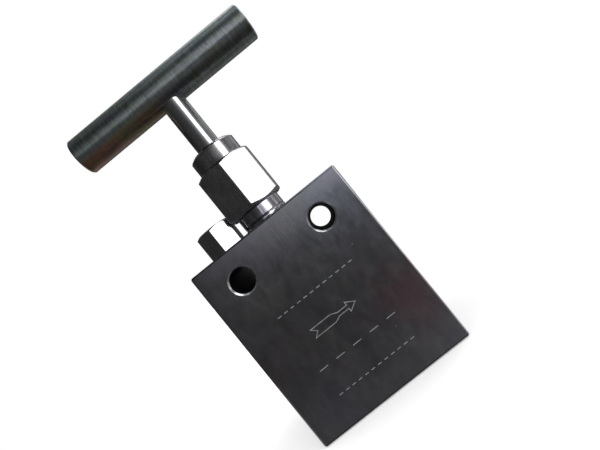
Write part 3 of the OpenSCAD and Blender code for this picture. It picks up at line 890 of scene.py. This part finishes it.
# ---------------------------------------------------------------- the bonnet
def build_bonnet():
    foot, top = GLAND_FOOT, GLAND_TOP
    turned_r, outer_r, rise = turned_corner(HEX_FLATS)
    root_r = NECK_R - COARSE_DEPTH
    plain_r = NECK_R - 0.05
    thread_top = TOP + 1.80
    # outside, going up: screwed end, plain neck, hexagon, collar
    screwed = [(GLAND_BORE_R + 0.3, foot), (root_r - 0.1, foot), (NECK_R - 0.02, foot + 0.55)]
    screwed += column(NECK_R, foot + 0.6, thread_top, COARSE_PITCH / 16)
    neck = rounded([(root_r + 0.32, thread_top + 0.03), (plain_r, thread_top + 0.35, 0.1),
                    (plain_r, HEX_Z0, 0.35), (turned_r, HEX_Z0)], 5)
    sides = rounded([
        (plain_r + 0.4, HEX_Z0), (turned_r, HEX_Z0, 0.06), (outer_r, HEX_Z0 + rise, 0.02),
        (outer_r, HEX_Z1 - rise, 0.02), (turned_r, HEX_Z1, 0.06), (COLLAR_R, HEX_Z1)], 3)
    hexagon = []
    for a, b in zip(sides[:-1], sides[1:]):
        # sloping stretches are stepped finely, as they cut the hexagon's corners
        slanted = abs(b[0] - a[0]) > 1e-6 and abs(b[1] - a[1]) > 1e-6
        hexagon += dense([a, b], 0.06 if slanted else 0.9)
    collar = rounded([
        (COLLAR_R + 0.5, HEX_Z1), (COLLAR_R, HEX_Z1, 0.22), (COLLAR_R, top - 0.85, 0.1),
        (COLLAR_R - 0.25, top - 0.6, 0.1), (5.95, top, 0.16), (4.05, top, 0.05),
        (GLAND_HOLE_R, top - 0.4, 0.05), (GLAND_HOLE_R, 78.1)], 4)
    # inside, going down: a groove in the narrow hole, then the wide bore
    groove = rounded([
        (GLAND_HOLE_R, 78.2), (GLAND_HOLE_R, 78.1, 0.03), (5.1, 78.1, 0.1), (5.1, 76.2, 0.1),
        (GLAND_HOLE_R, 76.2, 0.03), (GLAND_HOLE_R, 72, 0.05), (GLAND_BORE_R, 72)], 3)
    bore = column(GLAND_BORE_R, 71.9, foot + 0.4, -1.2)
    bore += [(GLAND_BORE_R, foot + 0.3), (GLAND_BORE_R + 0.3, foot)]
    path = screwed + neck + hexagon + dense(collar, 1.0) + groove + bore

    def reshape(radius, z, angle):
        threaded = (np.abs(radius - NECK_R) < 0.03) & (z < thread_top + 0.01)
        crest = thread_height(z, angle, COARSE_PITCH)
        # broader and shallower ridges where the thread comes out of the block
        crest = np.where(z > TOP - 0.6, np.clip(crest * 1.9, 0, 1), crest)
        full = run_out(z, foot + 0.4, thread_top + 0.1, 0.5)
        cut_r = NECK_R - (COARSE_DEPTH * (1 - crest) * np.clip(0.25 + 0.75 * full, 0, 1)
                          * np.where(z > TOP - 0.3, 0.46, 1.0))
        shaped = np.where(threaded, cut_r, radius)
        on_hex = (z > HEX_Z0 - 0.01) & (z < HEX_Z1 + 0.01) & (radius > COLLAR_R + 0.05)
        side_r = hex_radius(angle, HEX_FLATS, HEX_TURN)
        return np.where(on_hex, soft_min(radius, side_r, 0.10), shaped)

    def pick(centre, normal):
        outside = math.hypot(centre.x, centre.y) > COLLAR_R + 0.1
        if HEX_Z0 - 0.02 < centre.z < HEX_Z1 - 0.02 and outside and abs(normal.z) < 0.3:
            return 0
        return 2 if HEX_Z0 + 0.02 < centre.z < HEX_Z0 + 2.5 and normal.z < -0.5 else 1

    bonnet = lathe("bonnet", path, hex_angles(HEX_TURN, 96), reshape, closed=True)
    assign_faces(bonnet, pick, [hex_mat, turned_mat, facet_mat])
    finish_piece(bonnet, "valve", "packing_gland", sharp_deg=28)


# ---------------------------------------------------------------- the lock screw
def build_lock_screw():
    turned_r, outer_r, rise = turned_corner(LOCK_FLATS)
    crown = rounded([(outer_r, LOCK_TOP - rise), (turned_r, LOCK_TOP, 0.06),
                     (turned_r - 0.9, LOCK_TOP)], 3)
    path = [(0, TOP - 4.0), (1.7, TOP - 4.0), (2.05, TOP - 3.7)]
    path += column(LOCK_R, TOP - 3.65, TOP - 0.5, LOCK_PITCH / 14)
    path += [(2.05, TOP - 0.45), (2.05, TOP), (turned_r, TOP)]
    path += dense([(outer_r, TOP + 0.02), (outer_r, LOCK_TOP - rise)], 0.8)
    path += dense(crown, 0.05)[1:] + [(1.6, LOCK_TOP), (0, LOCK_TOP)]

    def reshape(radius, z, angle):
        groove = 1 - thread_height(z, angle, LOCK_PITCH)
        full = run_out(z, TOP - 3.8, TOP - 0.4, 0.5)
        threaded = (np.abs(radius - LOCK_R) < 0.01) & (z < TOP)
        shaped = np.where(threaded, LOCK_R - LOCK_DEPTH * groove * full, radius)
        on_hex = (z >= TOP - 0.001) & (radius > turned_r - 0.4)
        side_r = hex_radius(angle, LOCK_FLATS, LOCK_TURN)
        return np.where(on_hex, soft_min(radius, side_r, 0.08), shaped)

    def pick(centre, normal):
        return 1 if centre.z > LOCK_TOP - 0.02 and abs(normal.z) > 0.9 else 0

    screw = lathe("lock_screw_piece", path, hex_angles(LOCK_TURN, 72), reshape,
                  origin=(LOCK_X, 0, 0))
    assign_faces(screw, pick, [hex_mat, end_mat])
    finish_piece(screw, "valve", "lock_screw", sharp_deg=28)


# ---------------------------------------------------------------- the turning stem
def build_stem():
    foot = STEM_FOOT
    socket = rounded([
        (0, foot + 5.1), (0.2, foot + 5.08), (1.1, foot + SOCKET_DEPTH, 0.05),
        (SOCKET_R, foot + SOCKET_DEPTH, 0.1), (SOCKET_R, foot)], 3)
    lead_in = [(SOCKET_R, foot), (DRIVE_R - COARSE_DEPTH, foot), (DRIVE_R, foot + COARSE_DEPTH)]
    thread = column(DRIVE_R, foot + 0.6, DRIVE_TOP - 1.0, COARSE_PITCH / 14)
    spindle = rounded([
        (DRIVE_R, DRIVE_TOP - 0.95), (DRIVE_R, DRIVE_TOP - 0.4, 0.05),
        (DRIVE_R - 0.4, DRIVE_TOP, 0.05), (SPINDLE_R, DRIVE_TOP, 0.1),
        (SPINDLE_R, STEM_TOP - 0.5, 0.05), (SPINDLE_R - 0.5, STEM_TOP, 0.05), (0, STEM_TOP)], 3)
    # from the socket's roof, down and round the foot, then up to the top
    path = socket[:-1] + dense(lead_in, 0.3) + thread + spindle

    def reshape(radius, z, angle):
        groove = 1 - thread_height(z, angle, COARSE_PITCH)
        full = run_out(z, foot + 0.5, DRIVE_TOP - 0.9, 0.8)
        threaded = ((np.abs(radius - DRIVE_R) < 0.001) & (z > foot + 0.55)
                    & (z < DRIVE_TOP - 0.97))
        return np.where(threaded, DRIVE_R - COARSE_DEPTH * groove * full, radius)

    stem = lathe("spindle", dense(path, 1.5), ring_angles(120), reshape)
    # flat on the +Y side for the set screw
    cut(stem, [bmesh_object("cut_flat", cuboid((10, 5, 4.4), (0, 5.2, BAR_Z - 0.2)))])
    finish_piece(stem, "handle", "upper_stem", 28, spindle_mat)


# ---------------------------------------------------------------- the T-bar and its set screw
def build_bar():
    end, edge_r = BAR_HALF, BAR_R - BAR_CHAMFER
    # each end has a shallow dimple at its centre
    corners = rounded([
        (0, -end + 0.12), (0.25, -end + 0.12, 0.05), (0.45, -end, 0.05), (edge_r, -end, 0.07),
        (BAR_R, -end + BAR_CHAMFER, 0.07), (BAR_R, end - BAR_CHAMFER, 0.07),
        (edge_r, end, 0.07), (0.45, end, 0.05), (0.25, end - 0.12, 0.05), (0, end - 0.12)], 4)
    path = []
    for a, b in zip(corners[:-1], corners[1:]):
        along_side = abs(a[0] - BAR_R) < 1e-6 and abs(b[0] - BAR_R) < 1e-6
        path += dense([a, b], 0.25 if along_side else 0.35)[:-1]
    path.append(corners[-1])
    feed_marks = np.random.default_rng(11).normal(0, 1, 4000)

    def reshape(radius, z, angle):
        # feed marks of the lathe: a few thousandths of a millimetre deep, eight to the mm
        i = np.clip(((z + 60) * 8).astype(int), 0, 3999)
        on_side = np.abs(radius - BAR_R) < 1e-6
        return np.where(on_side, radius - np.abs(feed_marks[i]) * 0.0022, radius)

    bar = lathe("t_bar", path, ring_angles(144), reshape, axis="x", origin=(0, 0, BAR_Z))
    roof = BAR_Z + 3.2
    below = BAR_Z - BAR_R - 2
    bore = dense(rounded([(0, below), (3.62, below), (3.62, roof, 0.1), (0, roof)], 3), 2.0)
    # screw hole on the +Y side, lightly countersunk
    hole = [(0, 2.75), (2.0, 2.75), (2.0, BAR_R - 0.45), (2.45, BAR_R + 0.1),
            (2.45, BAR_R + 2), (0, BAR_R + 2)]
    cut(bar, [lathe("cut_bar_bore", bore, ring_angles(96)),
              lathe("cut_grub", dense(hole, 0.5), ring_angles(72), axis="y",
                    origin=(0, 0, GRUB_Z))])
    finish_piece(bar, "handle", "handle_bar", 30, bar_mat)


def build_set_screw():
    length = grub_hi[1] - grub_lo[1]
    place = {"axis": "y", "origin": (0, grub_lo[1], GRUB_Z)}
    path = [(0, 0), (1.2, 0), (1.55, 0.25)]
    path += column(GRUB_R, 0.45, length - 0.25, 0.05) + [(1.75, length), (0, length)]

    def reshape(radius, z, angle):
        groove = 1 - thread_height(z, angle, GRUB_PITCH)
        full = run_out(z, 0.2, length + 0.2, 0.3)
        threaded = np.abs(radius - GRUB_R) < 1e-6
        return np.where(threaded, GRUB_R - GRUB_DEPTH * groove * full, radius)

    screw = lathe("set_screw_piece", dense(path, 0.4), ring_angles(96), reshape, **place)
    key_r = 1.0 / HEX_COS
    key = [(0, 1.0), (key_r, 1.0), (key_r, length - 0.12), (1.35, length + 0.05),
           (1.35, length + 1), (0, length + 1)]
    cut(screw, [lathe("cut_socket", key, ring_angles(6), **place)])
    finish_piece(screw, "handle", "handle_set_screw", 30, dark_mat)


build_block()
build_bonnet()
build_lock_screw()
build_stem()
build_bar()
build_set_screw()

# ---------------------------------------------------------------- finishes of the kept CAD nodes
CAD_FINISHES = [
    (ptfe_mat, ("packing_ring_lower", "packing_ring_middle", "packing_ring_upper",
                "seat_gasket")),
    (inner_mat, ("bottom_packing_washer", "top_packing_washer", "packing_follower",
                 "seat_insert", "stem_retainer")),
    (spindle_mat, ("lower_stem", "thrust_ball")),
    (bronze_mat, ("thrust_washer",)),
    (rubber_mat, ("gland_wiper_ring",))]
for material, nodes in CAD_FINISHES:
    for node in nodes:
        slots = frame["nodes"][node].data.materials
        slots.clear()
        slots.append(material)


# ---------------------------------------------------------------- floor
def build_floor():
    """Pale, slightly glowing floor that reflections do not see."""
    bpy.ops.mesh.primitive_plane_add(size=6.0, location=(0, 0, -0.0002))
    floor = bpy.context.object
    floor.name = "floor"
    material = bpy.data.materials.new("pale_floor")
    material.use_nodes = True
    nodes, link = material.node_tree.nodes, material.node_tree.links.new
    shader = nodes["Principled BSDF"]
    shader.inputs["Base Color"].default_value = (0.93, 0.93, 0.93, 1)
    shader.inputs["Roughness"].default_value = 0.9
    shader.inputs["Specular IOR Level"].default_value = 0.0
    ray = nodes.new("ShaderNodeLightPath")
    clear = nodes.new("ShaderNodeBsdfTransparent")
    switch = nodes.new("ShaderNodeMixShader")
    glow = nodes.new("ShaderNodeEmission")
    glow.inputs["Strength"].default_value = 0.22
    lit = nodes.new("ShaderNodeAddShader")
    link(shader.outputs[0], lit.inputs[0])
    link(glow.outputs[0], lit.inputs[1])
    link(ray.outputs["Is Glossy Ray"], switch.inputs[0])
    link(lit.outputs[0], switch.inputs[1])
    link(clear.outputs[0], switch.inputs[2])
    link(switch.outputs[0], nodes["Material Output"].inputs["Surface"])
    floor.data.materials.append(material)


build_floor()

# ---------------------------------------------------------------- world
# Azimuth is in degrees from -Y toward +X, elevation in degrees above the horizon.
# tone by azimuth for level and rising reflections: azimuth, grey
UPPER_TONE = [(-180, 0.07), (-150, 0.040), (-120, 0.016), (-95, 0.012), (-65, 0.026),
              (-45, 0.033), (-28, 0.040), (-9, 0.055), (1, 0.085), (9, 0.13), (17, 0.24),
              (24, 0.34), (61, 0.34), (66, 0.30), (72, 0.22), (79, 0.16), (86, 0.18),
              (106, 0.28), (112, 0.22), (122, 0.22), (128, 0.42), (138, 0.42), (150, 0.14),
              (160, 0.055), (170, 0.05), (180, 0.07)]
# the same for reflections that point below the horizon
LOWER_TONE = [(-180, 0.11), (-140, 0.06), (-90, 0.035), (-40, 0.050), (-15, 0.050),
              (-4, 0.044), (0, 0.055), (5, 0.085), (25, 0.085), (60, 0.11), (100, 0.16),
              (150, 0.13), (180, 0.11)]
# factor on those tones: elevation, colour
ELEVATION_TONE = [
    (-90, (0.50, 0.46, 0.44)), (-75, (0.42, 0.38, 0.36)), (-60, (0.42, 0.39, 0.36)),
    (-40, (1.0, 0.97, 0.98)), (-27, (1.8, 1.77, 1.8)), (-20, (2.0, 1.97, 2.05)),
    (-15, (1.25, 1.22, 1.3)), (-10, (0.95, 0.93, 0.95)), (-4, (1.0, 0.99, 1.03)),
    (28, (1.0, 1.03, 1.03)), (40, (0.30, 0.34, 0.34)), (60, (0.16, 0.19, 0.20)),
    (70, (0.45, 0.50, 0.52)), (78, (1.7, 1.85, 2.0)), (90, (2.7, 2.95, 3.2))]
# soft-edged cards: azimuth start, its softness, azimuth end, its softness,
# elevation start, end, softness, strength or colour
CARDS = [
    (32, 2.5, 59, 2.5, -1, 29, 3, 2.6),                      # tall softbox right of the camera
    (27, 5, 63, 5, -1, 29, 4, 0.35),                         # its halo
    (-3, 12, 12, 3, 2.8, 7.0, 1.8, (1.15, 1.20, 1.38)),      # low cool glow in front
    (76, 4, 104, 4, 25, 66, 5, 3.2),                         # raised card at the +X side
    (87, 3, 103, 3, -6, 5, 4, 0.45),                         # faint strip below it
    (74, 4, 102, 4, -12, -3.5, 2, 1.1),                      # low strip at the +X side
    (142, 5, 174, 5, 40, 64, 6, 1.9),                        # raised card behind
    (110, 8, 172, 8, -76, -32, 6, 0.06),                     # faint card low behind
    (15, 5, 34, 5, -1, 6.5, 2.5, 0.85)]                      # low card beside the softbox
LEFT_CARD = (-84, 7, -50, 7, -36, -22, 6, 0.10)              # faint card low on the -X side


def build_world():
    """White to the eye; reflections see a dim studio of soft cards."""
    world = bpy.data.worlds.new("studio")
    scene.world = world
    world.use_nodes = True
    net = Net(world.node_tree)
    output = net.node("ShaderNodeOutputWorld")
    coords = net.node("ShaderNodeTexCoord")
    unit = net.node("ShaderNodeVectorMath")
    unit.operation = "NORMALIZE"
    net.link(coords.outputs["Generated"], unit.inputs[0])
    x, y, z = net.split(unit.outputs[0])
    degrees = 180 / math.pi
    azimuth = net.times(net.math("ARCTAN2", x, net.times(y, -1.0)), degrees)
    elevation = net.times(net.math("ARCSINE", z), degrees)
    azimuth_share = net.fade(azimuth, -180, 180)
    elevation_share = net.fade(elevation, -90, 90)

    def tone_ramp(share, table, half_range):
        return net.ramp(share, [((angle + half_range) / (2 * half_range), tone)
                                for angle, tone in table])

    def card(start, start_soft, end, end_soft, bottom, top, soft, strength):
        mask = net.times(
            net.band(azimuth, start - start_soft, start + start_soft,
                     end + end_soft, end - end_soft),
            net.band(elevation, bottom - soft, bottom + soft, top + soft, top - soft))
        if isinstance(strength, tuple):
            return net.mix(mask, (0.0, 0.0, 0.0), strength)
        return net.times(mask, strength)

    def add(colour, light):
        return net.mix(1.0, colour, light, "ADD")

    def off_front():
        return net.math("ABSOLUTE", azimuth)

    upper = tone_ramp(azimuth_share, UPPER_TONE, 180)
    lower = tone_ramp(azimuth_share, LOWER_TONE, 180)
    studio = net.mix(net.fade(elevation, -7, 0), lower, upper)
    studio = net.tone(studio, tone_ramp(elevation_share, ELEVATION_TONE, 90))
    for row in CARDS:
        studio = add(studio, card(*row))
    # pale table and walls away from the camera: they only show in the sides and the back
    table = net.times(net.fade(off_front(), 72, 92), net.band(elevation, -11, -16, -42, -31))
    table = net.times(table, net.fade(off_front(), 166, 146))
    studio = add(studio, net.times(table, 0.42))
    studio = add(studio, card(*LEFT_CARD))
    wall = net.times(net.fade(off_front(), 112, 130), net.band(elevation, 24, 30, 75, 60))
    studio = add(studio, net.times(wall, net.fade(azimuth, -10, 10, low=0.05, high=0.30)))

    reflected = net.node("ShaderNodeBackground")
    net.link(studio, reflected.inputs["Color"])
    reflected.inputs["Strength"].default_value = 1.0
    white = net.node("ShaderNodeBackground")
    white.inputs["Color"].default_value = (1, 1, 1, 1)
    white.inputs["Strength"].default_value = 1.0
    ray = net.node("ShaderNodeLightPath")
    switch = net.node("ShaderNodeMixShader")
    net.link(ray.outputs["Is Glossy Ray"], switch.inputs[0])
    net.link(white.outputs[0], switch.inputs[1])
    net.link(reflected.outputs[0], switch.inputs[2])
    net.link(switch.outputs[0], output.inputs["Surface"])


build_world()


# ---------------------------------------------------------------- lamp, view and camera
def build_lamp():
    """A broad soft lamp from above, for a faint contact shadow."""
    light = bpy.data.lights.new("top_soft", "AREA")
    light.shape = "DISK"
    light.size = 0.9
    light.energy = 1.2
    light.specular_factor = 0.0
    lamp = bpy.data.objects.new("top_soft", light)
    lamp.visible_glossy = False
    scene.collection.objects.link(lamp)
    place = Vector((0.25, -0.25, 0.8))
    lamp.location = place
    lamp.rotation_mode = "QUATERNION"
    lamp.rotation_quaternion = place.to_track_quat("Z", "Y")   # aimed at the origin


def build_camera():
    """In front of the valve, rolled so that it leans in the picture."""
    data = bpy.data.cameras.new("camera")
    camera = bpy.data.objects.new("camera", data)
    scene.collection.objects.link(camera)
    data.sensor_fit = "HORIZONTAL"
    data.sensor_width = 36.0
    data.lens = 31.4388
    forward = Vector((-0.0387, 0.9992, 0.0038)).normalized()
    up = Vector((0.6286, 0.0214, 0.7774)).normalized()
    right = forward.cross(up).normalized()
    up = right.cross(forward).normalized()
    turn = Matrix((right, up, -forward)).transposed()
    place = Vector((11.85, -149.82, 45.94)) * MM
    camera.matrix_world = Matrix.Translation(place) @ turn.to_4x4()
    data.shift_x = 0.0004
    data.shift_y = 0.0011
    data.clip_start = 0.005
    data.clip_end = 20.0
    scene.camera = camera


build_lamp()
scene.view_settings.view_transform = "Standard"
scene.view_settings.look = "None"
scene.view_settings.exposure = 0.0
scene.view_settings.gamma = 1.0
build_camera()

# ---------------------------------------------------------------- update of the view layer
bpy.context.view_layer.update()
